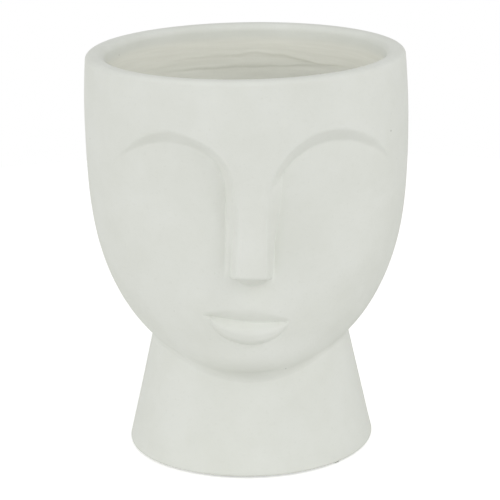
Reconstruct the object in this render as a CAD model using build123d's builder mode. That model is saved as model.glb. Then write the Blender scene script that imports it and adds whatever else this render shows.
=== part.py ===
from build123d import *
import os
from math import asin, atan2, cos, degrees, radians, sin, sqrt, tan

# A head planter in cast white cement: an egg-shaped bowl with a face in low relief stands on a flared
# hollow neck. Z is up, the face looks along -Y, and Z = 0 is the surface that the pads stand on.
# Sizes are in millimetres and angles in degrees.

# Whole pot
total_height = 200.0

# Head: an egg that is measured down from its rim
head_radius = 79.2
widest_drop = 35.0
rim_taper = 0.8
egg_depth = 127.4
egg_power = 2.75
underside_radius = 32.0
wall = 10.4
floor_thickness = 12.0
floor_corner_radius = 8.0
rim_outer_radius = 4.0
rim_inner_radius = 3.0

# Chin: a swell on the front of the egg, deepest at the underside
chin_depth = 14.0
chin_half_angle = 64.0
chin_rise = 69.0

# Face: its own flat frame, set on the pot with a slight lean
face_drop = 75.0
face_offset = 1.2
face_lean = 2.5

# Eye sockets: round hollows under the brows that run out over the cheeks
eye_spacing = 38.0
eye_rise = 18.6
eye_radius = 26.4
brow_bevel = 55.0
socket_depth = 5.0
socket_reach = 62.0
socket_fade_top = 12.0
socket_fade_bottom = -36.0
socket_fade_edge = 0.5

# Nose: a flat-fronted wedge that grows out of the forehead
nose_top = 28.0
nose_tip = -20.5
nose_root_depth = 0.3
nose_reach = 8.0
nose_tip_half_width = 8.6
nose_bridge_half_width = 6.3
nose_tip_rise = 2.6
nose_flare = 26.0

# Mouth: the upper lip slopes in to the mouth line, and the lower lip swells out below it
mouth_height = -41.8
mouth_half_width = 20.0
mouth_lean = 2.5
upper_lip_height = 6.0
upper_lip_depth = 3.3
mouth_sag = 1.0
lower_lip_height = 12.4
lower_lip_swell = 3.0
lower_lip_curve = 31.0
lower_lip_thickness = 13.0
lower_lip_half_height = 7.7

# Neck: a hollow cone with a flat foot
neck_foot_radius = 61.6
neck_slope = 12.4
neck_wall = 12.0
foot_outer_edge = 2.0
foot_inner_edge = 1.0

# Mortar bed between the head and the neck
bed_thickness = 1.4
bed_gap = 0.1
bed_setback = 0.5

# Drain hole and its rubber plug
drain_radius = 9.0
plug_clearance = 0.1
plug_flange_radius = 15.0
plug_flange_height = 4.0
plug_stem_below_floor = 3.0
plug_tip_chamfer = 1.5
plug_edge_radius = 1.2
tab_width = 12.0
tab_height = 12.0
tab_thickness = 4.0
tab_bead_radius = 3.0
tab_bead_round = 1.0
tab_corner_radius = 1.5

# Felt pads under the foot
pad_count = 4
pad_radius = 4.0
pad_thickness = 1.0

# Room that a cutting shape has beyond what it cuts, and the points and slices of the curved forms
cut_room = 6.0
section_points = 24
section_count = 9
profile_points = 9

# Heights that follow from the sizes above
rim_z = total_height
widest_z = rim_z - widest_drop
underside_z = widest_z - egg_depth * (1 - (underside_radius / head_radius) ** 2) ** (1 / egg_power)
floor_z = underside_z + floor_thickness
face_z = rim_z - face_drop


def egg_radius(z):
    """Radius of the plain egg at a height."""
    if z < widest_z:
        return head_radius * sqrt(1 - ((widest_z - z) / egg_depth) ** egg_power)
    return head_radius - rim_taper * ((z - widest_z) / widest_drop) ** 2


def chin_swell(z):
    """How far the chin stands out of the egg on the midline at a height."""
    share = (z - underside_z) / chin_rise
    return chin_depth * max(0.0, 1 - share) ** 2


def front_of_head(z):
    return egg_radius(z) + chin_swell(z)


def head_section(z, grow):
    """Points round the head at a height, from the back, with the form grown by a small amount."""
    points = []
    for step in range(section_points):
        angle = -180 + 360 * step / section_points
        lobe = cos(radians(90 * angle / chin_half_angle)) ** 2 if abs(angle) < chin_half_angle else 0
        radius = egg_radius(z) + chin_swell(z) * lobe + grow
        points.append((radius * sin(radians(angle)), -radius * cos(radians(angle))))
    return points


def heights(low, high, count):
    """Heights from low to high that lie closer together near the low end, where the egg turns most."""
    return [low + (high - low) * (step / (count - 1)) ** 1.5 for step in range(count)]


def head_solid(grow):
    """The head as a plain solid, without a face, grown by a small amount."""
    with BuildPart() as form:
        for z in heights(underside_z - grow, rim_z, section_count):
            with BuildSketch(Plane.XY.offset(z)):
                with BuildLine():
                    Spline(*head_section(z, grow), periodic=True)
                make_face()
        loft()
    return form.part


head_form = head_solid(0)

# The face has its own frame: across the face, up the face, and out towards the viewer.
face = Plane(
    origin=(face_offset, 0, face_z),
    x_dir=(cos(radians(face_lean)), 0, -sin(radians(face_lean))),
    z_dir=(0, -1, 0),
)
face_mirror = Plane(origin=face.origin, x_dir=face.y_dir, z_dir=face.x_dir)

# The floor of both sockets is one round surface whose axis lies behind the head's axis, so it is
# deepest beside the nose and comes out of the egg at the outer ends of the brows and on the cheeks.
eye_z = face_z + eye_rise
egg_back = egg_radius(eye_z) - sqrt(egg_radius(eye_z) ** 2 - socket_reach ** 2)
panel_radius = (socket_reach ** 2 + (egg_back - socket_depth) ** 2) / (2 * (egg_back - socket_depth))
panel_axis_y = panel_radius - (egg_radius(eye_z) - socket_depth)


def panel_reach(z):
    """Radius of the socket floor about its own axis at a height."""
    share = (z - face_z - socket_fade_bottom) / (socket_fade_top - socket_fade_bottom)
    share = min(1.0, share)
    soft = max(0.0, share) ** 2 * (3 - 2 * share)
    fade = socket_fade_edge * share + (1 - socket_fade_edge) * soft
    return panel_axis_y + front_of_head(z) - socket_depth * fade


panel_low = face_z + mouth_height
panel_high = rim_z - rim_outer_radius
panel_heights = [
    panel_low + (panel_high - panel_low) * step / (profile_points - 1) for step in range(profile_points)
]
with BuildPart() as panel:
    with BuildSketch(Plane(origin=(0, panel_axis_y, 0), x_dir=(1, 0, 0), z_dir=(0, -1, 0))):
        with BuildLine():
            side = [(panel_reach(z), z) for z in panel_heights]
            Spline(*side)
            Polyline(side[-1], (0, panel_high), (0, panel_low), side[0])
        make_face()
    revolve(axis=Axis((0, panel_axis_y, 0), (0, 0, 1)))

# One socket: a round-topped form with bevelled sides, square to the head at the middle of the eye,
# without the floor. Seen from the front its top is round.
eye_turn = degrees(asin(eye_spacing / egg_radius(eye_z)))
brow_z = eye_z + eye_radius
brow_reach = sqrt(panel_reach(brow_z) ** 2 - eye_spacing ** 2) - panel_axis_y
eye_plane = Plane(face.location * Location((eye_spacing, eye_rise, brow_reach), (0, eye_turn, 0)))
eye_half_width = eye_radius / cos(radians(eye_turn))
with BuildPart() as socket_form:
    for lift in (-socket_depth - cut_room, socket_depth + cut_room):
        spread = lift * tan(radians(brow_bevel))
        with BuildSketch(eye_plane.offset(lift)):
            with BuildLine():
                EllipticalCenterArc((0, 0), eye_half_width + spread, eye_radius + spread, arc_size=180)
                Polyline(
                    (-eye_half_width - spread, 0),
                    (-eye_half_width - spread, mouth_height - eye_rise + cut_room),
                    (eye_half_width + spread, mouth_height - eye_rise + cut_room),
                    (eye_half_width + spread, 0),
                )
            make_face()
    loft()
with BuildPart() as sockets:
    add(socket_form.part)
    add(socket_form.part.mirror(face_mirror))
    add(panel.part, mode=Mode.SUBTRACT)

# Nose: its flat front leaves the forehead at the top and stands out furthest at the tip.
nose_front_top = egg_radius(face_z + nose_top) - nose_root_depth
nose_front_tip = egg_radius(face_z + nose_tip) + nose_reach
nose_tilt = degrees(atan2(nose_front_tip - nose_front_top, nose_top - nose_tip))
nose_plane = Plane(face.location * Location((0, nose_tip, nose_front_tip), (-nose_tilt, 0, 0)))
nose_length = (nose_top - nose_tip) / cos(radians(nose_tilt))
nose_depth = nose_reach + socket_depth + wall / 4
with BuildPart() as nose:
    with BuildSketch(nose_plane):
        with BuildLine():
            ThreePointArc(
                (-nose_tip_half_width, nose_tip_rise), (0, 0), (nose_tip_half_width, nose_tip_rise)
            )
            Polyline(
                (nose_tip_half_width, nose_tip_rise),
                (nose_bridge_half_width, nose_length),
                (-nose_bridge_half_width, nose_length),
                (-nose_tip_half_width, nose_tip_rise),
            )
        make_face()
    extrude(amount=-nose_depth, taper=-nose_flare)

# Upper lip: a flat facet that slopes in from the face to the mouth line.
mouth_z = face_z + mouth_height
mouth = Plane(face.location * Location((0, mouth_height, 0), (0, 0, -mouth_lean)))
lip_top_reach = front_of_head(mouth_z + upper_lip_height)
mouth_reach = front_of_head(mouth_z) - upper_lip_depth
lip_tilt = degrees(atan2(lip_top_reach - mouth_reach, upper_lip_height))
facet = Plane(mouth.location * Location((0, 0, mouth_reach), (lip_tilt, 0, 0)))
facet_height = upper_lip_height / cos(radians(lip_tilt)) + cut_room
mouth_line = [(-mouth_half_width, 0), (0, -mouth_sag), (mouth_half_width, 0)]
with BuildPart() as upper_lip:
    with BuildSketch(facet):
        with BuildLine():
            ThreePointArc(*mouth_line)
            Polyline(
                (mouth_half_width, 0),
                (mouth_half_width, facet_height),
                (-mouth_half_width, facet_height),
                (-mouth_half_width, 0),
            )
        make_face()
    extrude(amount=upper_lip_depth + cut_room)

# Lower lip: the part of a round swell that lies in a crescent under the mouth line.
lip_middle = -(lower_lip_height + mouth_sag) / 2
lip_reach = front_of_head(mouth_z + lip_middle) + lower_lip_swell
lip_axis = Plane(mouth.location * Location((0, lip_middle, lip_reach - lower_lip_curve)))
with BuildPart() as lower_lip:
    with BuildSketch(mouth.offset(lip_reach - lower_lip_curve)):
        with BuildLine():
            ThreePointArc(*mouth_line)
            ThreePointArc(mouth_line[2], (0, -lower_lip_height), mouth_line[0])
        make_face()
    extrude(amount=lower_lip_curve + cut_room)
    with BuildSketch(Plane(origin=lip_axis.origin, x_dir=lip_axis.z_dir, z_dir=lip_axis.x_dir)):
        with Locations((lower_lip_curve - lower_lip_thickness / 2, 0)):
            Ellipse(lower_lip_thickness / 2, lower_lip_half_height)
    revolve(axis=Axis(lip_axis.origin, lip_axis.y_dir), mode=Mode.INTERSECT)

# The inside of the bowl follows the egg at one wall thickness, and both edges of the rim are round.
inside = [(egg_radius(z) - wall, z) for z in heights(floor_z, rim_z - rim_inner_radius, profile_points)]
rim_inner_top = (inside[-1][0] + rim_inner_radius, rim_z)
rim_inner_middle = (
    rim_inner_top[0] - rim_inner_radius * sqrt(0.5),
    rim_z - rim_inner_radius + rim_inner_radius * sqrt(0.5),
)
rim_outer_side = (egg_radius(rim_z - rim_outer_radius), rim_z - rim_outer_radius)
rim_outer_top = (rim_outer_side[0] - rim_outer_radius, rim_z)
rim_outer_middle = (
    rim_outer_top[0] + rim_outer_radius * sqrt(0.5),
    rim_outer_side[1] + rim_outer_radius * sqrt(0.5),
)

# Bowl: the head with its face, the planting hollow, the drain hole and a rounded rim.
with BuildPart() as head_bowl:
    add(head_form)
    add(sockets.part, mode=Mode.SUBTRACT)
    add(nose.part)
    add(upper_lip.part, mode=Mode.SUBTRACT)
    add(lower_lip.part)
    with BuildSketch(Plane.XZ):
        with BuildLine():
            Spline(*inside)
            ThreePointArc(inside[-1], rim_inner_middle, rim_inner_top)
            Polyline(
                rim_inner_top,
                (rim_inner_top[0], rim_z + cut_room),
                (0, rim_z + cut_room),
                (0, floor_z),
                inside[0],
            )
        make_face()
        fillet(vertices().group_by(Axis.Y)[0].sort_by(Axis.X)[-1], floor_corner_radius)
    revolve(axis=Axis.Z, mode=Mode.SUBTRACT)
    with BuildSketch(Plane.XZ):
        with BuildLine():
            ThreePointArc(rim_outer_side, rim_outer_middle, rim_outer_top)
            Polyline(
                rim_outer_top,
                (rim_outer_top[0], rim_z + cut_room),
                (rim_outer_side[0] + cut_room, rim_z + cut_room),
                (rim_outer_side[0] + cut_room, rim_outer_side[1]),
                rim_outer_side,
            )
        make_face()
    revolve(axis=Axis.Z, mode=Mode.SUBTRACT)
    with BuildSketch(Plane.XY.offset(underside_z)):
        Circle(drain_radius)
    extrude(amount=floor_thickness, mode=Mode.SUBTRACT)
head_bowl.part.label = "head_bowl"


def neck_radius(z):
    """Outer radius of the neck at a height."""
    return neck_foot_radius - (z - pad_thickness) * tan(radians(neck_slope))


# The crease under the head lies where the egg is as wide as the neck.
crease_low = underside_z
crease_high = widest_z
for halving in range(40):
    crease_z = (crease_low + crease_high) / 2
    if egg_radius(crease_z) < neck_radius(crease_z):
        crease_low = crease_z
    else:
        crease_high = crease_z
neck_top = crease_z + cut_room


def neck_outline(setback):
    """Closed outline of the neck's wall, with its outer face set back by a small amount."""
    outer = [(neck_radius(z) - setback, z) for z in (pad_thickness, neck_top)]
    inner = [(neck_radius(z) - neck_wall, z) for z in (neck_top, pad_thickness)]
    return outer + inner


# Neck: a hollow cone whose top is cut to the form of the head and the mortar bed.
with BuildPart() as neck_pedestal:
    with BuildSketch(Plane.XZ):
        with BuildLine():
            Polyline(*neck_outline(0), close=True)
        make_face()
        foot_corners = vertices().group_by(Axis.Y)[0].sort_by(Axis.X)
        fillet(foot_corners[-1], foot_outer_edge)
        foot_corners = vertices().group_by(Axis.Y)[0].sort_by(Axis.X)
        fillet(foot_corners[0], foot_inner_edge)
    revolve(axis=Axis.Z)
    add(head_solid(bed_thickness + 2 * bed_gap), mode=Mode.SUBTRACT)
neck_pedestal.part.label = "neck_pedestal"

# Mortar bed: fills the joint between the head and the neck, a little back from the neck's face.
with BuildPart() as mortar_ring:
    with BuildSketch(Plane.XZ):
        with BuildLine():
            Polyline(*neck_outline(bed_setback), close=True)
        make_face()
    revolve(axis=Axis.Z)
    add(head_solid(bed_thickness + bed_gap), mode=Mode.INTERSECT)
    add(head_solid(bed_gap), mode=Mode.SUBTRACT)
mortar_ring.part.label = "mortar_ring"

# Drain plug: a flange that lies on the floor of the bowl, a stem in the drain hole and a tab to pull.
stem_radius = drain_radius - plug_clearance
stem_end_z = underside_z - plug_stem_below_floor
flange_top_z = floor_z + plug_flange_height
with BuildPart() as drain_plug:
    with BuildSketch(Plane.XZ):
        with BuildLine():
            Polyline(
                (0, stem_end_z),
                (stem_radius - plug_tip_chamfer, stem_end_z),
                (stem_radius, stem_end_z + plug_tip_chamfer),
                (stem_radius, floor_z),
                (plug_flange_radius, floor_z),
                (plug_flange_radius, flange_top_z),
                (0, flange_top_z),
                close=True,
            )
        make_face()
        fillet(vertices().group_by(Axis.Y)[-1].sort_by(Axis.X)[-1], plug_edge_radius)
    revolve(axis=Axis.Z)
    with BuildSketch(Plane.XY.offset(flange_top_z)):
        RectangleRounded(tab_width, tab_thickness, tab_corner_radius)
    extrude(amount=tab_height - tab_bead_radius)
    bead_z = flange_top_z + tab_height - tab_bead_radius
    with BuildSketch(Plane(origin=(-tab_width / 2, 0, bead_z), x_dir=(0, 1, 0), z_dir=(1, 0, 0))):
        Circle(tab_bead_radius)
    extrude(amount=tab_width)
    fillet(edges().group_by(Axis.X)[0] + edges().group_by(Axis.X)[-1], tab_bead_round)
drain_plug.part.label = "drain_plug"

# Felt pads: stuck to the flat of the foot, evenly spaced.
foot_flat_inner = neck_foot_radius - neck_wall + foot_inner_edge
foot_flat_outer = neck_foot_radius - foot_outer_edge
pad_circle = (foot_flat_inner + foot_flat_outer) / 2
os.makedirs("parts", exist_ok=True)
for number in range(pad_count):
    angle = radians(360 * (number + 0.5) / pad_count)
    with BuildPart() as foot_pad:
        with BuildSketch(Plane.XY):
            with Locations((pad_circle * cos(angle), pad_circle * sin(angle))):
                Circle(pad_radius)
        extrude(amount=pad_thickness)
    foot_pad.part.label = f"foot_pad_{number + 1}"
    export_step(foot_pad.part, f"parts/foot_pad_{number + 1}.step")

export_step(head_bowl.part, "parts/head_bowl.step")
export_step(neck_pedestal.part, "parts/neck_pedestal.step")
export_step(mortar_ring.part, "parts/mortar_ring.step")
export_step(drain_plug.part, "parts/drain_plug.step")
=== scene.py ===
import math

import bmesh
import bpy
from mathutils import Euler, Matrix, Quaternion, Vector, noise


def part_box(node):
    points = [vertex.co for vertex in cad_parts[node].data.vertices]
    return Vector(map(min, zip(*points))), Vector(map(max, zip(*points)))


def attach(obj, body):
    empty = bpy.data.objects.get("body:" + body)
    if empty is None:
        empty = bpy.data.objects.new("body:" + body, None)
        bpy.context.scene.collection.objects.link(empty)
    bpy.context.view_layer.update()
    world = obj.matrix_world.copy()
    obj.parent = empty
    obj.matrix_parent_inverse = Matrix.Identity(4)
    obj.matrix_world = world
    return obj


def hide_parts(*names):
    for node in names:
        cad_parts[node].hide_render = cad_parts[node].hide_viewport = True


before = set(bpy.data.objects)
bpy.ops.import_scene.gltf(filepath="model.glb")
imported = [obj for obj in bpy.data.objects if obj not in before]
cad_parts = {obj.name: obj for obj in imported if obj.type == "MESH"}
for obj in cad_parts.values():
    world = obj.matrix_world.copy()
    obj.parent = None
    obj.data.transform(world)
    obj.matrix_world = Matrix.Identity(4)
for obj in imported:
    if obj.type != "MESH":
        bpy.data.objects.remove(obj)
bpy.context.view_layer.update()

mm = 0.001  # the forms below are worked out in millimetres and scaled once, at the end
build = {"cornerSteps": 8, "weld": 0.001, "sharp": 50.0}  # faces round a corner, millimetres, degrees


def hexLinear(code):
    channels = [int(code[i:i + 2], 16) / 255 for i in (1, 3, 5)]
    return tuple(c / 12.92 if c <= 0.04045 else ((c + 0.055) / 1.055) ** 2.4 for c in channels) + (1.0,)


def addNode(tree, kind, settings=None, inputs=None):
    node = tree.nodes.new(kind)
    for key, value in (settings or {}).items():
        setattr(node, key, value)
    for key, value in (inputs or {}).items():
        if isinstance(value, bpy.types.NodeSocket):
            tree.links.new(value, node.inputs[key])
        else:
            node.inputs[key].default_value = value
    return node


def ease(low, high, value):
    t = min(1.0, max(0.0, (value - low) / (high - low)))
    return t * t * (3 - 2 * t)


def softMin(a, b, blend):  # the lower of two surfaces, with the meeting line rounded over
    share = max(blend - abs(a - b), 0.0) / blend
    return min(a, b) - share * share * blend / 4


def softMax(a, b, blend):
    return -softMin(-a, -b, blend)


def beyond(distance, blend):  # how far past an edge, rounded over at the edge itself
    return 0.5 * (distance + math.hypot(distance, blend))


def between(share):  # 0 at both ends of a stretch, 1 part of the way along it
    return 4 * share ** 2 * (1 - share ** 2)


def angleFromFront(point):
    return math.degrees(math.atan2(point.x, -point.y))


def around(angle, radius, z):
    return Vector((radius * math.sin(math.radians(angle)), -radius * math.cos(math.radians(angle)), z))


def spinLoop(profile, arcs):
    # a closed loop of (radius, height, corner rounding), carried round the pot's axis in several arcs
    bm = bmesh.new()
    corners = [(bm.verts.new(around(arcs[0][0], r, z)), rounding) for r, z, rounding in profile]
    for (here, _), (following, _) in zip(corners, corners[1:] + corners[:1]):
        bm.edges.new((here, following))
    for corner, rounding in corners:
        if rounding:
            bmesh.ops.bevel(bm, geom=[corner], offset=rounding, offset_type="OFFSET", affect="VERTICES",
                            segments=build["cornerSteps"], profile=0.5, material=-1)
    line = bm.verts[:] + bm.edges[:]
    for low, high, steps in arcs:
        turned = bmesh.ops.spin(bm, geom=line, cent=(0, 0, 0), axis=(0, 0, 1), dvec=(0, 0, 0),
                                angle=math.radians(high - low), steps=steps, use_duplicate=False,
                                use_merge=high - low == 360)  # a full turn closes on itself
        line = turned["geom_last"]
    bmesh.ops.remove_doubles(bm, verts=bm.verts, dist=build["weld"])
    bmesh.ops.recalc_face_normals(bm, faces=bm.faces)
    return bm


def finishPiece(bm, name, body, material, nodes):
    bmesh.ops.scale(bm, vec=(mm, mm, mm), verts=bm.verts)
    for f in bm.faces:
        f.smooth = True
    for e in bm.edges:
        e.smooth = e.calc_face_angle(0.0) < math.radians(build["sharp"])
    mesh = bpy.data.meshes.new(name)
    bm.to_mesh(mesh)
    bm.free()
    mesh.materials.append(material)
    piece = bpy.data.objects.new(name, mesh)
    bpy.context.scene.collection.objects.link(piece)
    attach(piece, body)
    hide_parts(*nodes)
    print(name, "done,", sum(len(p.vertices) - 2 for p in mesh.polygons), "triangles")


def newMaterial(name):
    mat = bpy.data.materials.new(name)
    mat.use_nodes = True
    mat.node_tree.nodes.clear()
    return mat, mat.node_tree


# Cast white cement: matt, chalky, faintly mottled where the mix set unevenly, with fine grit and
# a few air holes left by the mould, drawn as grey dots of painted shade. Inside, where a trowel smoothed it,
# it is streaked, and it is painted lighter than the outside and lighter towards the rim: painted light in
# the bowl.
# The grit is drawn coarser than the real one, which would be too fine to show.
cement = {
    "light": "#e6e8e2", "dark": "#e2e4dd", "mottle": 26.0, "mottleRamp": (0.36, 0.64),
    "grit": "#d9dbd3", "grain": 1.6, "gritRange": (0.58, 0.8), "gritShare": 0.4,
    "hole": "#b9bab2", "holeSpacing": 15.0, "holeSize": 0.55, "holeCore": 0.6,
    # inside: trowel streaks in two colours, both painted brighter than the outside as painted light in the
    # bowl
    "trowelLightPaintedBright": "#f5f5ed", "trowelDarkPaintedBright": "#e8e8de", "streak": 1.5, "streakStretch": 0.06,
    "roughness": (0.86, 0.95), "bump": 0.25, "bumpHeight": 0.15,
}


def castCement(name, tone):
    mat, tree = newMaterial(name)
    place = addNode(tree, "ShaderNodeTexCoord").outputs["Object"]
    cloud = addNode(tree, "ShaderNodeTexNoise", inputs={
        "Vector": place, "Scale": 1 / (tone["mottle"] * mm), "Detail": 4.0, "Roughness": 0.55})
    tint = addNode(tree, "ShaderNodeValToRGB", inputs={"Fac": cloud.outputs["Fac"]})
    for i, shade in enumerate(("dark", "light")):
        tint.color_ramp.elements[i].position = tone["mottleRamp"][i]
        tint.color_ramp.elements[i].color = hexLinear(tone[shade])
    grain = addNode(tree, "ShaderNodeTexNoise", inputs={
        "Vector": place, "Scale": 1 / (tone["grain"] * mm), "Detail": 3.0, "Roughness": 0.6})
    grit = addNode(tree, "ShaderNodeMapRange", inputs={
        "Value": grain.outputs["Fac"], "From Min": tone["gritRange"][0], "From Max": tone["gritRange"][1],
        "To Min": 0.0, "To Max": tone["gritShare"]})
    gritty = addNode(tree, "ShaderNodeMix", {"data_type": "RGBA"}, {  # sockets 6 and 7 are its two colours
        "Factor": grit.outputs["Result"], 6: tint.outputs["Color"], 7: hexLinear(tone["grit"])})
    cells = addNode(tree, "ShaderNodeTexVoronoi", inputs={
        "Vector": place, "Scale": 1 / (tone["holeSpacing"] * mm)})
    holeReach = tone["holeSize"] / tone["holeSpacing"]
    # air holes: grey dots of painted shade, where no hole is cut in the surface
    hole = addNode(tree, "ShaderNodeMapRange", inputs={
        "Value": cells.outputs["Distance"], "From Min": holeReach * tone["holeCore"], "From Max": holeReach,
        "To Min": 1.0, "To Max": 0.0})
    pitted = addNode(tree, "ShaderNodeMix", {"data_type": "RGBA"}, {
        "Factor": hole.outputs["Result"], 6: gritty.outputs[2], 7: hexLinear(tone["hole"])})
    flat = addNode(tree, "ShaderNodeMapping", inputs={
        "Vector": place, "Scale": (tone["streakStretch"], tone["streakStretch"], 1.0)})
    streaks = addNode(tree, "ShaderNodeTexNoise", inputs={
        "Vector": flat.outputs["Vector"], "Scale": 1 / (tone["streak"] * mm), "Detail": 3.0})
    wipedAndPaintedBright = addNode(tree, "ShaderNodeMix", {"data_type": "RGBA"}, {
        "Factor": streaks.outputs["Fac"],
        6: hexLinear(tone["trowelDarkPaintedBright"]), 7: hexLinear(tone["trowelLightPaintedBright"])})
    # inside: the trowel's streaks, painted brighter as painted light, blended in by the per-vertex share
    trowelledAndPaintedLight = addNode(tree, "ShaderNodeAttribute", {"attribute_name": "trowelledAndPaintedLight"})
    skin = addNode(tree, "ShaderNodeMix", {"data_type": "RGBA"}, {
        "Factor": trowelledAndPaintedLight.outputs["Fac"], 6: pitted.outputs[2], 7: wipedAndPaintedBright.outputs[2]})
    rough = addNode(tree, "ShaderNodeMapRange", inputs={
        "Value": cloud.outputs["Fac"], "From Min": 0.3, "From Max": 0.7,
        "To Min": tone["roughness"][0], "To Max": tone["roughness"][1]})
    bump = addNode(tree, "ShaderNodeBump", inputs={
        "Height": grain.outputs["Fac"], "Strength": tone["bump"], "Distance": tone["bumpHeight"] * mm})
    shader = addNode(tree, "ShaderNodeBsdfPrincipled", inputs={
        "Base Color": skin.outputs[2], "Roughness": rough.outputs["Result"], "IOR": 1.5,
        "Specular IOR Level": 0.25, "Normal": bump.outputs["Normal"]})
    addNode(tree, "ShaderNodeOutputMaterial", inputs={"Surface": shader.outputs["BSDF"]})
    return mat


potCement = castCement("castWhiteCement", cement)
# Mortar of the same white cement, smoothed with a finger: a shade duller, with coarser grit.
bedMortar = castCement("smoothedMortar", dict(cement, light="#e5e7e1", dark="#e1e3dc", grain=2.2))
print("cement and mortar set")

# Head: an egg-shaped bowl, widest below the rim, with a chin that swells forward at the bottom
headLow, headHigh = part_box("head_bowl")
head = {
    "rim": headHigh.z / mm - 0.4, "underside": headLow.z / mm, "radius": (headHigh.x - headLow.x) / 2 / mm,
    "widest": 165.0, "rimTaper": 1.5, "eggDepth": 127.4, "eggPower": 2.75,
    "wall": 10.4, "floor": 12.0, "footRadius": 32.0, "drain": 9.0,
    "rimOuter": 2.4, "rimInner": 3.6, "floorCorner": 4.0, "edge": 0.8, "flatBase": 0.5,
    "chinDepth": 14.0, "chinAngle": 64.0, "chinRise": 69.0,
    "ballDepth": 3.6, "ballZ": 62.0, "ballHeight": 8.0, "ballHalf": 20.0,
    "unevenness": 0.25, "unevenSize": 42.0,
}
muzzle = {"swell": 6.1, "half": 25.0, "underside": (48.0, 60.0), "top": (76.0, 105.0)}
# rows of the outside lie closest at the brows, the nose tip and the mouth, those of the inside at the ledges
outerRows = ((46.6, 66.0, 0.95), (66.0, 92.0, 0.6), (92.0, 100.0, 1.0), (100.0, 110.0, 0.55),
             (110.0, 146.0, 1.3), (146.0, 182.0, 0.62), (182.0, 195.5, 1.35))
innerRows = ((194.0, 186.5, 1.0), (186.5, 181.5, 0.4), (181.5, 179.5, 0.7), (179.5, 175.5, 0.4),
             (175.5, 156.0, 1.1), (156.0, 66.5, 4.2))
faceAngle, noseAngle = 62, 20  # degrees to each side that hold the face, and the nose and mouth
headArcs = ((-faceAngle, -noseAngle, 66), (-noseAngle, noseAngle, 102), (noseAngle, faceAngle, 66),
            (faceAngle, 360 - faceAngle, 80))
# inside: opened a little towards the rim, with two uneven ledges where a trowel stopped
inside = {
    "flare": 1.5, "flareFrom": 182.0, "flareHeight": 18.0,
    "upperLedge": (184.0, 0.17), "lowerLedge": (178.0, 0.3), "ledgeHeight": 1.2,  # level and depth of each
    "ledgeEnd": (24.0, 48.0), "ledgeFade": (150.0, 172.0), "gaps": 0.6, "gapSize": (12.0, 4.0),
    "streakDepth": 0.12, "streakHeight": 1.8, "streakLength": 26.0, "streakFade": (150.0, 160.0),
    # share of the inside that is streaked and painted brighter as painted light: less low down, more towards
    # the rim, none on the rim's top
    "trowelAndPaintedLightLow": 0.6, "trowelAndPaintedLightRise": (172.0, 186.0), "trowelAndPaintedLightEnd": (-10.0, -4.0),
}
# how the ledges wander up and down, in degrees round from the back and millimetres up
wander = {
    "shake": 0.5, "shakeLength": 8.0, "shakeSeed": 0.3, "peak": 1.3, "peakAngle": 6.0, "peakWidth": 9.0,
    "upperDrop": 3.0, "dropSpan": (14.0, 36.0), "lowerRise": 2.0, "riseSpan": (8.0, 34.0),
    "fadeIn": (160.0, 178.0), "fadeOut": (185.0, 193.0),
}


def eggRadius(z):
    drop = head["widest"] - z
    if drop > 0:
        return head["radius"] * math.sqrt(max(0.0, 1 - (drop / head["eggDepth"]) ** head["eggPower"]))
    return head["radius"] - head["rimTaper"] * (drop / (head["rim"] - head["widest"])) ** 2


def chinSwell(z):
    return head["chinDepth"] * max(0.0, 1 - (z - head["underside"]) / head["chinRise"]) ** 2


def chinLobe(angle):
    if abs(angle) >= head["chinAngle"]:
        return 0.0
    return math.cos(math.radians(90 * angle / head["chinAngle"])) ** 2


def lowerFace(x, z):  # from under the nose the face comes forward, down to the ball of the chin
    height = ease(*muzzle["underside"], z) * (1 - ease(*muzzle["top"], z))
    swell = muzzle["swell"] * height * math.exp(-(x / muzzle["half"]) ** 2)
    ball = math.exp(-((z - head["ballZ"]) / head["ballHeight"]) ** 2 - (x / head["ballHalf"]) ** 2)
    return swell + head["ballDepth"] * ball


def headReach(angle, z):
    plain = eggRadius(z) + chinSwell(z) * chinLobe(angle)
    if abs(angle) >= head["chinAngle"]:
        return plain
    return plain + lowerFace(plain * math.sin(math.radians(angle)), z)


def headUneven(angle, z):
    return head["unevenness"] * noise.noise(around(angle, eggRadius(z), z) / head["unevenSize"])


def innerRadius(z):
    flare = max(0.0, (z - inside["flareFrom"]) / inside["flareHeight"]) ** 2
    return eggRadius(z) - head["wall"] + inside["flare"] * flare


def ledgeWave(fromBack, z):
    shakeSpot = Vector((fromBack / wander["shakeLength"], wander["shakeSeed"], 0))
    shake = wander["shake"] * noise.noise(shakeSpot)
    peak = wander["peak"] * math.exp(-((fromBack - wander["peakAngle"]) / wander["peakWidth"]) ** 2)
    upper = peak - wander["upperDrop"] * ease(*wander["dropSpan"], fromBack) + 2 * shake
    lower = wander["lowerRise"] * ease(*wander["riseSpan"], fromBack) - shake
    wave = lower + (upper - lower) * ease(inside["lowerLedge"][0], inside["upperLedge"][0], z)
    return wave * ease(*wander["fadeIn"], z) * (1 - ease(*wander["fadeOut"], z))


def trowelInside(point):
    radius, z = math.hypot(point.x, point.y), point.z
    fromBack = math.degrees(math.atan2(point.x, point.y))
    depth = 0.0
    for level, size in (inside["upperLedge"], inside["lowerLedge"]):
        depth += size * (1 - ease(level - inside["ledgeHeight"], level, z))
    depth *= (1 - ease(*inside["ledgeEnd"], abs(fromBack))) * ease(*inside["ledgeFade"], z)
    gapSpot = Vector((fromBack / inside["gapSize"][0], z / inside["gapSize"][1], 0))
    depth *= 1 + inside["gaps"] * noise.noise(gapSpot)
    length = inside["streakLength"]
    streakSpot = Vector((point.x / length, point.y / length, z / inside["streakHeight"]))
    streak = inside["streakDepth"] * noise.noise(streakSpot) * ease(*inside["streakFade"], z)
    return around(angleFromFront(point), radius + depth + streak, z + ledgeWave(fromBack, z))


def rowHeights(stretches):
    rows = []
    for low, high, spacing in stretches:
        count = round(abs(high - low) / spacing)
        rows += [low + (high - low) * i / count for i in range(count)]
    return rows + [stretches[-1][1]]


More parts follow.
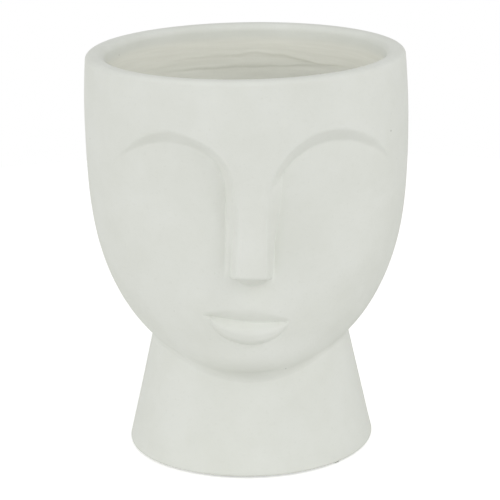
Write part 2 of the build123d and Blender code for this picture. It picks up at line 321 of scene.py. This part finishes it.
# Face: low relief, measured across (u) and up (v) in its own frame, which leans a little to one side
face = {"height": 125.0, "offset": 1.2, "lean": 2.5}
eyes = {
    "spacing": 38.0, "rise": 18.6, "depth": 6.3, "reach": 63.6,
    "tilt": 0.012, "rightTilt": 0.018, "rightBlend": 12.0,
    "fadeTop": 12.0, "fadeBottom": -36.0, "fadeEdge": 0.5, "edgeBlend": 0.6, "runOutBlend": 4.0,
    "innerSlope": 1.8, "bankRound": 0.35, "bankStart": (0.2, 1.6), "browBand": (-6.0, 8.0),
    "innerEnd": (20.0, -4.0), "templeEnd": (-6.0, 9.0),
    "hollowReach": (2.8, 1.2), "hollowEnd": (-24.0, -13.0),
}
# the foot of each brow's bank: its radius over the eye, beside the nose and between the two, and how far it
# opens at the temple; then the hollow beside the nose, and how the bank's slope changes along the brow
leftEye = {
    "foot": 24.6, "innerFoot": 26.0, "shoulder": 1.3, "templeGain": 5.0, "hollow": 1.3,
    "slope": 0.75, "innerPower": 1.0, "templeEase": 0.0,
}
rightEye = {
    "foot": 26.5, "innerFoot": 27.0, "shoulder": 0.0, "templeGain": 5.0, "hollow": 1.6,
    "slope": 0.92, "innerPower": 2.0, "templeEase": 0.2,
}
nose = {
    "top": 28.0, "tip": -16.8, "rootDepth": 0.3, "reach": 8.0, "centre": 0.3,
    "bridgeHalf": 6.8, "tipHalf": 7.8, "flareFrom": 0.5, "flarePower": 1.6, "steeper": (1.35, 1.1),
    "bridgeSlope": 1.3, "tipSlope": 4.8, "underSlope": 1.8, "underSteepen": 1.8,
    "edgeBlend": 0.5, "tipBlend": 0.8, "cove": 0.7,
}
mouth = {
    "height": -40.2, "centre": -1.3, "half": 20.7, "lean": 2.5, "sag": 1.0, "followReach": 10.0,
    "upperDepth": 3.0, "upperHeight": 6.4, "cornerHeight": 1.4, "softTop": 0.3,
    "valleyPower": 4, "archPower": 1.5,
    "lowerCentre": 1.3, "lowerHalf": 18.4, "lowerHeight": 10.8, "swell": 2.4, "crest": 0.5, "roll": 4.5,
    "tuck": 0.8, "tuckReach": 1.5, "pout": 0.9, "poutHalf": 9.0, "poutReach": 9.0,
}

eggAtEyes = eggRadius(face["height"] + eyes["rise"])
eggBack = eggAtEyes - math.sqrt(eggAtEyes ** 2 - eyes["reach"] ** 2) - eyes["depth"]
panelRadius = (eyes["reach"] ** 2 + eggBack ** 2) / (2 * eggBack)  # both sockets share one round floor
panelBack = panelRadius - (eggAtEyes - eyes["depth"])
noseTopFront = eggRadius(face["height"] + nose["top"]) - nose["rootDepth"]
noseTipFront = eggRadius(face["height"] + nose["tip"]) + nose["reach"]


def leaned(across, up, degrees):
    lean = math.radians(degrees)
    return across * math.cos(lean) - up * math.sin(lean), across * math.sin(lean) + up * math.cos(lean)


def faceSpot(x, z):
    return leaned(x - face["offset"], z - face["height"], face["lean"])


def mouthSpot(u, v):
    return leaned(u - mouth["centre"], v - mouth["height"], mouth["lean"])


def mouthLine(p):
    return -mouth["sag"] * (1 - (p / mouth["half"]) ** 2)


def socketFloor(x, z):
    share = min(1.0, (z - face["height"] - eyes["fadeBottom"]) / (eyes["fadeTop"] - eyes["fadeBottom"]))
    soft = max(0.0, share) ** 2 * (3 - 2 * share)
    fade = eyes["fadeEdge"] * share + (1 - eyes["fadeEdge"]) * soft
    reach = panelBack + eggRadius(z) + chinSwell(z) - eyes["depth"] * fade
    turned = eyes["tilt"] * x + eyes["rightTilt"] * beyond(x, eyes["rightBlend"])
    return math.sqrt(max(0.0, reach ** 2 - x ** 2)) - panelBack - turned


def browBank(u, v):  # how far the brow's bank stands over the socket's floor, hollowed beside the nose
    eye = leftEye if u < 0 else rightEye
    across = abs(u) - eyes["spacing"]
    fromEye = math.hypot(across, max(0.0, v - eyes["rise"]))
    away = max(fromEye, 1.0)  # never nothing, even at the middle of the eye
    inner = max(0.0, -across) / away
    outer = max(0.0, across) / away
    foot = eye["foot"] + (eye["innerFoot"] - eye["foot"]) * inner ** 2 + eye["templeGain"] * outer ** 4
    foot += eye["shoulder"] * between(inner)
    slope = eye["slope"] + (eyes["innerSlope"] - eye["slope"]) * inner ** eye["innerPower"]
    slope *= 1 - eye["templeEase"] * between(outer)
    if across > 0:  # the brow runs out on the temple
        slope *= ease(*eyes["templeEnd"], v - eyes["rise"])
    else:  # and gives way to the side of the nose
        slope *= 1 - ease(*eyes["innerEnd"], v)
    past = fromEye - foot
    reach = eyes["hollowReach"][0] if past < 0 else eyes["hollowReach"][1]
    hollow = eye["hollow"] * math.exp(-abs(past) / reach) * inner ** 2 * ease(*eyes["hollowEnd"], v)
    return beyond(past, eyes["bankRound"]) * slope - hollow


def carveSockets(front, x, z, u, v):
    bank = browBank(u, v)
    brow = max(ease(*eyes["bankStart"], bank), ease(*eyes["browBand"], v - eyes["rise"]))
    blend = eyes["runOutBlend"] + (eyes["edgeBlend"] - eyes["runOutBlend"]) * brow
    return softMin(front, socketFloor(x, z) + lowerFace(x, z) + bank, blend)


def raiseNose(front, u, v):
    across = abs(u - nose["centre"])
    down = (nose["top"] - v) / (nose["top"] - nose["tip"])
    along = min(1.0, max(0.0, down))
    flare = max(0.0, along - nose["flareFrom"]) / (1 - nose["flareFrom"])
    half = nose["bridgeHalf"] + (nose["tipHalf"] - nose["bridgeHalf"]) * flare ** nose["flarePower"]
    steeper = nose["steeper"][0 if u < nose["centre"] else 1]  # the two flanks aren't cut alike
    slope = steeper * (nose["bridgeSlope"] + (nose["tipSlope"] - nose["bridgeSlope"]) * along ** 2)
    ridge = noseTopFront + (noseTipFront - noseTopFront) * down
    sideFall = beyond(across - half, nose["edgeBlend"]) * slope
    under = nose["underSlope"] + nose["underSteepen"] * (across / nose["tipHalf"]) ** 2
    tipFall = beyond(nose["tip"] - v, nose["edgeBlend"]) * under
    return softMax(front, ridge - softMax(sideFall, tipFall, nose["tipBlend"]), nose["cove"])


def shapeMouth(front, p, q):
    above = q - mouthLine(p)
    across = min(1.0, abs(p / mouth["half"]))
    valley = mouth["upperDepth"] * (1 - across ** mouth["valleyPower"])  # how deep the mouth line lies
    if above >= 0:  # upper lip: a flat slope down to the mouth line, under a skin that leans out over it
        pout = mouth["pout"] * math.exp(-(p / mouth["poutHalf"]) ** 2)
        arch = (1 - across ** 2) ** mouth["archPower"]
        height = mouth["cornerHeight"] + (mouth["upperHeight"] - mouth["cornerHeight"]) * arch
        skin = front + pout * math.exp(-(above / mouth["poutReach"]) ** 2)
        return skin - (valley + pout) * beyond(1 - above / height, mouth["softTop"])
    lipAcross = min(1.0, abs((p - mouth["lowerCentre"]) / mouth["lowerHalf"]))
    room = math.sqrt(1 - lipAcross ** 2)
    down = -above / max(mouth["cornerHeight"], mouth["lowerHeight"] * room)
    swell = mouth["swell"] * room
    if down < mouth["crest"]:  # lower lip: comes up out of the mouth line, rolls over and tucks under
        return front - valley + (valley + swell) * (1 - (1 - down / mouth["crest"]) ** 2)
    fromCrease = (down - 1) * mouth["lowerHeight"] * room
    tuck = mouth["tuck"] * room * math.exp(-(fromCrease / mouth["tuckReach"]) ** 2)
    rolled = max(0.0, 1 - ((down - mouth["crest"]) / (1 - mouth["crest"])) ** mouth["roll"])
    return front + swell * rolled - tuck


def faceRelief(x, z, front):
    u, v = faceSpot(x, z)
    return shapeMouth(raiseNose(carveSockets(front, x, z, u, v), u, v), *mouthSpot(u, v))


def followMouth(x, z):  # rows near the mouth are bent so that one of them runs along the mouth line
    middle = face["height"] + mouth["height"]
    tilt = math.tan(math.radians(face["lean"] + mouth["lean"]))
    centre = face["offset"] + mouth["centre"] + mouth["height"] * math.sin(math.radians(face["lean"]))
    across = max(-mouth["half"], min(mouth["half"], x - centre))
    line = -tilt * across + mouthLine(across)
    fade = 1 - ease(mouth["half"], mouth["half"] * 2, abs(x - centre))
    return line * fade * math.exp(-((z - middle) / mouth["followReach"]) ** 2)


outerLine = [(eggRadius(z), z, 0) for z in rowHeights(outerRows)]
innerLine = [(innerRadius(z), z, 0) for z in rowHeights(innerRows)]
floorZ = head["underside"] + head["floor"]
headProfile = [(head["drain"], head["underside"], head["edge"]), (head["footRadius"], head["underside"], 0)]
headProfile += outerLine
headProfile += [(eggRadius(head["rim"]), head["rim"], head["rimOuter"]),
                (innerRadius(head["rim"]), head["rim"], head["rimInner"])]
headProfile += innerLine
headProfile += [(eggRadius(floorZ) - head["wall"], floorZ, head["floorCorner"]),
                (head["drain"], floorZ, head["edge"])]

bm = spinLoop(headProfile, headArcs)
trowelledAndPaintedLight = bm.verts.layers.float.new("trowelledAndPaintedLight")  # the cement reads it: 1 where a trowel smoothed it most and the inside is painted brightest, as painted light
for v in bm.verts:
    radius = math.hypot(v.co.x, v.co.y)
    if v.co.z < head["underside"] + head["flatBase"]:
        continue
    if radius < eggRadius(v.co.z) - head["wall"] / 2:
        # painted light: the inside is painted less bright low down and brighter towards the rim
        trowelAndPaintedLight = inside["trowelAndPaintedLightLow"] + (1 - inside["trowelAndPaintedLightLow"]) * ease(*inside["trowelAndPaintedLightRise"], v.co.z)
        v[trowelledAndPaintedLight] = trowelAndPaintedLight * (1 - ease(*inside["trowelAndPaintedLightEnd"], v.co.z - head["rim"]))
        v.co = trowelInside(v.co)
        continue
    angle = angleFromFront(v.co)
    z = v.co.z
    if abs(angle) < 90:  # the front half
        z += followMouth(v.co.x, z)
    grown = radius + headReach(angle, z) - eggRadius(v.co.z) + headUneven(angle, v.co.z)
    x = grown * math.sin(math.radians(angle))
    front = grown * math.cos(math.radians(angle))
    if abs(angle) < faceAngle and z < head["rim"] - head["rimOuter"]:
        front = faceRelief(x, z, front)
    v.co = (x, -front, z)
bm.normal_update()
finishPiece(bm, "headBowl", "pot", potCement, ["head_bowl"])

# Neck: a hollow cone on a flat foot, its top hollowed to take the head on a thin bed of mortar
neck = {
    "foot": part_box("neck_pedestal")[0].z / mm, "footRadius": 61.6, "slope": 12.4, "wall": 12.0,
    "outerEdge": 2.0, "innerEdge": 1.0, "bed": 1.5, "blockTop": 60.0,
    "rows": 40, "topRows": 6, "columns": 240, "halvings": 30,
    "unevenness": 0.3, "unevenSize": 36.0, "unevenFrom": (2.0, 12.0),
    "throat": 4.5, "throatTop": 52.0,
    "bulge": 1.6, "bulgeAngle": -62.0, "bulgeWidth": 34.0, "bulgeHeight": 40.0,
}
# how far the finger-smoothed mortar runs down the neck and up the head, at the chin and at the sides
bed = {
    "low": 1.4, "high": 0.05, "rows": 12, "across": 8, "inset": 0.97, "skin": 0.01,
    "front": (4.5, 4.5), "side": (2.4, 2.0), "sink": 0.1,
}


def neckRadius(angle, z):  # the throat stands a little forward under the chin
    cone = neck["footRadius"] - (z - neck["foot"]) * math.tan(math.radians(neck["slope"]))
    return cone + neck["throat"] * ease(neck["foot"], neck["throatTop"], z) * chinLobe(angle)


def neckUneven(angle, z):  # the foot of the casting bulges on one side
    bulge = neck["bulge"] * math.exp(-((angle - neck["bulgeAngle"]) / neck["bulgeWidth"]) ** 2)
    bulge *= max(0.0, 1 - z / neck["bulgeHeight"]) ** 2
    rough = neck["unevenness"] * noise.noise(around(angle, neckRadius(angle, z), z) / neck["unevenSize"])
    return bulge + rough * ease(*neck["unevenFrom"], z)


def underHead(angle, share, offset):
    # height under the head, a given gap below it, at a share of the neck's wall counted from outside
    low, high = head["underside"], head["widest"]
    if headReach(angle, low) + offset > neckRadius(angle, low) - neck["wall"] * share:
        return low - offset
    for halving in range(neck["halvings"]):
        middle = (low + high) / 2
        if headReach(angle, middle) + offset < neckRadius(angle, middle) - neck["wall"] * share:
            low = middle
        else:
            high = middle
    return low


# the neck is spun as a plain tube up to the block's top, then its top is fitted to the head
tube, blockTop = neck["footRadius"], neck["blockTop"]
wallRows = [neck["foot"] + (blockTop - neck["foot"]) * i / neck["rows"] for i in range(2, neck["rows"] + 1)]
neckProfile = [(tube, neck["foot"], neck["outerEdge"])] + [(tube, z, 0) for z in wallRows]
neckProfile += [(tube - neck["wall"] * i / neck["topRows"], blockTop, 0) for i in range(1, neck["topRows"])]
neckProfile += [(tube - neck["wall"], z, 0) for z in reversed(wallRows)]
neckProfile += [(tube - neck["wall"], neck["foot"], neck["innerEdge"])]
bm = spinLoop(neckProfile, ((0, 360, neck["columns"]),))
tops = {}
for v in bm.verts:
    angle = angleFromFront(v.co)
    share = (tube - math.hypot(v.co.x, v.co.y)) / neck["wall"]
    spot = (round(angle, 3), round(share, 3))
    if spot not in tops:
        tops[spot] = underHead(angle, share, neck["bed"])
    z = neck["foot"] + (v.co.z - neck["foot"]) * (tops[spot] - neck["foot"]) / (blockTop - neck["foot"])
    radius = neckRadius(angle, z) - neck["wall"] * share + neckUneven(angle, z) * (1 - share)
    v.co = around(angle, radius, z)
finishPiece(bm, "neckPedestal", "pot", potCement, ["neck_pedestal"])

# Mortar: a thin bed between the two castings, smoothed with a finger into a small hollow fillet
bedRadii = [tube - neck["wall"] * bed["inset"] * i / bed["across"] for i in range(bed["across"] + 1)]
bedProfile = [(radius, 0, 0) for radius in bedRadii] + [(radius, 1, 0) for radius in reversed(bedRadii)]
bedProfile += [(tube, 1 - j / bed["rows"], 0) for j in range(1, bed["rows"])]
bm = spinLoop(bedProfile, ((0, 360, neck["columns"]),))
for v in bm.verts:
    angle = angleFromFront(v.co)
    share = (tube - math.hypot(v.co.x, v.co.y)) / neck["wall"]
    if share < bed["skin"]:  # the fillet that shows
        crease = underHead(angle, 0, 0)
        spread = [s + (f - s) * chinLobe(angle) for s, f in zip(bed["side"], bed["front"])]
        low, high = crease - spread[0], crease + spread[1]
        onNeck = Vector((neckRadius(angle, low) + neckUneven(angle, low) - bed["sink"], low))
        corner = Vector((neckRadius(angle, crease), crease))
        onHead = Vector((headReach(angle, high) + headUneven(angle, high) - bed["sink"], high))
        t = v.co.z
        radius, z = onNeck * (1 - t) ** 2 + corner * 2 * t * (1 - t) + onHead * t ** 2
    else:
        offset = bed["low"] + (bed["high"] - bed["low"]) * v.co.z
        z = underHead(angle, share, offset)
        radius = neckRadius(angle, z) - neck["wall"] * share
    v.co = around(angle, radius, z)
finishPiece(bm, "mortarRing", "pot", bedMortar, ["mortar_ring"])

# Moulded black rubber: dull, with a faint bloom of dust and a fine grain from the mould.
rubber = {
    "dark": "#262626", "bloom": "#383836", "patch": 7.0, "grain": 0.6,
    "roughness": (0.5, 0.75), "bump": 0.3, "bumpHeight": 0.1,
}
mat, tree = newMaterial("mouldedRubber")
place = addNode(tree, "ShaderNodeTexCoord").outputs["Object"]
dust = addNode(tree, "ShaderNodeTexNoise", inputs={
    "Vector": place, "Scale": 1 / (rubber["patch"] * mm), "Detail": 5.0})
grain = addNode(tree, "ShaderNodeTexNoise", inputs={
    "Vector": place, "Scale": 1 / (rubber["grain"] * mm), "Detail": 2.0})
tint = addNode(tree, "ShaderNodeMix", {"data_type": "RGBA"}, {
    "Factor": dust.outputs["Fac"], 6: hexLinear(rubber["dark"]), 7: hexLinear(rubber["bloom"])})
rough = addNode(tree, "ShaderNodeMapRange", inputs={
    "Value": dust.outputs["Fac"], "To Min": rubber["roughness"][0], "To Max": rubber["roughness"][1]})
bump = addNode(tree, "ShaderNodeBump", inputs={
    "Height": grain.outputs["Fac"], "Strength": rubber["bump"], "Distance": rubber["bumpHeight"] * mm})
shader = addNode(tree, "ShaderNodeBsdfPrincipled", inputs={
    "Base Color": tint.outputs[2], "Roughness": rough.outputs["Result"], "IOR": 1.52,
    "Normal": bump.outputs["Normal"]})
addNode(tree, "ShaderNodeOutputMaterial", inputs={"Surface": shader.outputs["BSDF"]})
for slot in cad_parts["drain_plug"].material_slots:
    slot.material = mat

# Pressed wool felt: grey, soft, with flecks of lighter and darker fibre.
felt = {
    "dark": "#83827c", "light": "#a09f98", "fleck": 1.2, "fuzz": 0.35, "roughness": 0.95, "sheen": 0.3,
    "bump": 0.6, "bumpHeight": 0.2,
}
mat, tree = newMaterial("pressedFelt")
place = addNode(tree, "ShaderNodeTexCoord").outputs["Object"]
fleck = addNode(tree, "ShaderNodeTexNoise", inputs={
    "Vector": place, "Scale": 1 / (felt["fleck"] * mm), "Detail": 6.0, "Roughness": 0.7, "Distortion": 1.5})
fuzz = addNode(tree, "ShaderNodeTexNoise", inputs={
    "Vector": place, "Scale": 1 / (felt["fuzz"] * mm), "Detail": 3.0})
tint = addNode(tree, "ShaderNodeMix", {"data_type": "RGBA"}, {
    "Factor": fleck.outputs["Fac"], 6: hexLinear(felt["dark"]), 7: hexLinear(felt["light"])})
bump = addNode(tree, "ShaderNodeBump", inputs={
    "Height": fuzz.outputs["Fac"], "Strength": felt["bump"], "Distance": felt["bumpHeight"] * mm})
shader = addNode(tree, "ShaderNodeBsdfPrincipled", inputs={
    "Base Color": tint.outputs[2], "Roughness": felt["roughness"], "Sheen Weight": felt["sheen"],
    "Normal": bump.outputs["Normal"]})
addNode(tree, "ShaderNodeOutputMaterial", inputs={"Surface": shader.outputs["BSDF"]})
for name in ("foot_pad_1", "foot_pad_2", "foot_pad_3", "foot_pad_4"):
    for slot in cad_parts[name].material_slots:
        slot.material = mat
print("rubber and felt set")

# camera at the photo's viewpoint: a little above the rim, straight on, held a degree off level
shot = {
    "place": (0.0, -949.4, 380.7), "aim": (0.55, 0.0, 97.9), "roll": -1.05, "lens": 142.5, "sensor": 36.0,
}
camData = bpy.data.cameras.new("photoCamera")
camData.lens = shot["lens"]
camData.sensor_width = shot["sensor"]
cam = bpy.data.objects.new("photoCamera", camData)
bpy.context.scene.collection.objects.link(cam)
camPlace = Vector(shot["place"]) * mm
camTurn = (Vector(shot["aim"]) * mm - camPlace).to_track_quat("-Z", "Y")
camTurn = camTurn @ Quaternion((0, 0, 1), math.radians(shot["roll"]))
cam.location = camPlace
cam.rotation_euler = camTurn.to_euler()
bpy.context.scene.camera = cam
print("camera set")


def seenDirectly(tree):  # 1 for what the camera sees, straight or mirrored, and 0 for light on its way
    rays = addNode(tree, "ShaderNodeLightPath")
    seen = addNode(tree, "ShaderNodeMath", {"operation": "MAXIMUM"}, {
        0: rays.outputs["Is Camera Ray"], 1: rays.outputs["Is Glossy Ray"]})
    seen = addNode(tree, "ShaderNodeMath", {"operation": "MAXIMUM"}, {
        0: seen.outputs[0], 1: rays.outputs["Is Transmission Ray"]})
    return seen.outputs[0]


# round white table top, which the white room closes in behind
table = {"radius": 0.6, "sides": 96, "colour": "#f4f4f2", "lift": 0.5}  # radius in metres
tableMesh = bpy.data.meshes.new("tableTop")
bm = bmesh.new()
bmesh.ops.create_circle(bm, cap_ends=True, segments=table["sides"], radius=table["radius"])
bm.to_mesh(tableMesh)
bm.free()
tableTop = bpy.data.objects.new("tableTop", tableMesh)
bpy.context.scene.collection.objects.link(tableTop)

# White laminate: the camera sees it lifted to white, and the pot's shadow still falls on it.
tableMat, tree = newMaterial("whiteLaminate")
lift = addNode(tree, "ShaderNodeMath", {"operation": "MULTIPLY"}, {0: seenDirectly(tree), 1: table["lift"]})
paper = addNode(tree, "ShaderNodeBsdfDiffuse", inputs={"Color": hexLinear(table["colour"])})
glow = addNode(tree, "ShaderNodeEmission", inputs={"Strength": lift.outputs[0]})
both = addNode(tree, "ShaderNodeAddShader", inputs={0: paper.outputs[0], 1: glow.outputs[0]})
addNode(tree, "ShaderNodeOutputMaterial", inputs={"Surface": both.outputs[0]})
tableMesh.materials.append(tableMat)

# Soft studio room, white behind the pot: a low soft box on the left, a high one on the right and a weak
# one by the camera, all in metres
room = {"fill": 0.557, "boxSize": 0.9, "aim": (0.0, 0.0, 0.12), "distance": 1.6}
softBoxes = {  # degrees round from the front, degrees up, watts
    "softBoxLeft": (-72.0, 21.0, 6.1),
    "softBoxRight": (58.0, 38.0, 5.0),
    "softBoxFront": (12.0, 21.0, 3.85),
}
world = bpy.data.worlds.new("studioRoom")
world.use_nodes = True
bpy.context.scene.world = world
tree = world.node_tree
tree.nodes.clear()
level = addNode(tree, "ShaderNodeMapRange", inputs={
    "Value": seenDirectly(tree), "To Min": room["fill"], "To Max": 1.0})
sky = addNode(tree, "ShaderNodeBackground", inputs={"Color": (1, 1, 1, 1), "Strength": level.outputs[0]})
addNode(tree, "ShaderNodeOutputWorld", inputs={"Surface": sky.outputs[0]})

for name, (azimuth, elevation, power) in softBoxes.items():
    light = bpy.data.lights.new(name, "AREA")
    light.shape = "SQUARE"
    light.size = room["boxSize"]
    light.energy = power
    softBox = bpy.data.objects.new(name, light)
    bpy.context.scene.collection.objects.link(softBox)
    turn = Euler((math.radians(90 - elevation), 0, math.radians(azimuth)))
    softBox.rotation_euler = turn
    softBox.location = Vector(room["aim"]) + turn.to_matrix() @ Vector((0, 0, room["distance"]))
print("light set")

bpy.context.scene.view_settings.view_transform = "Standard"
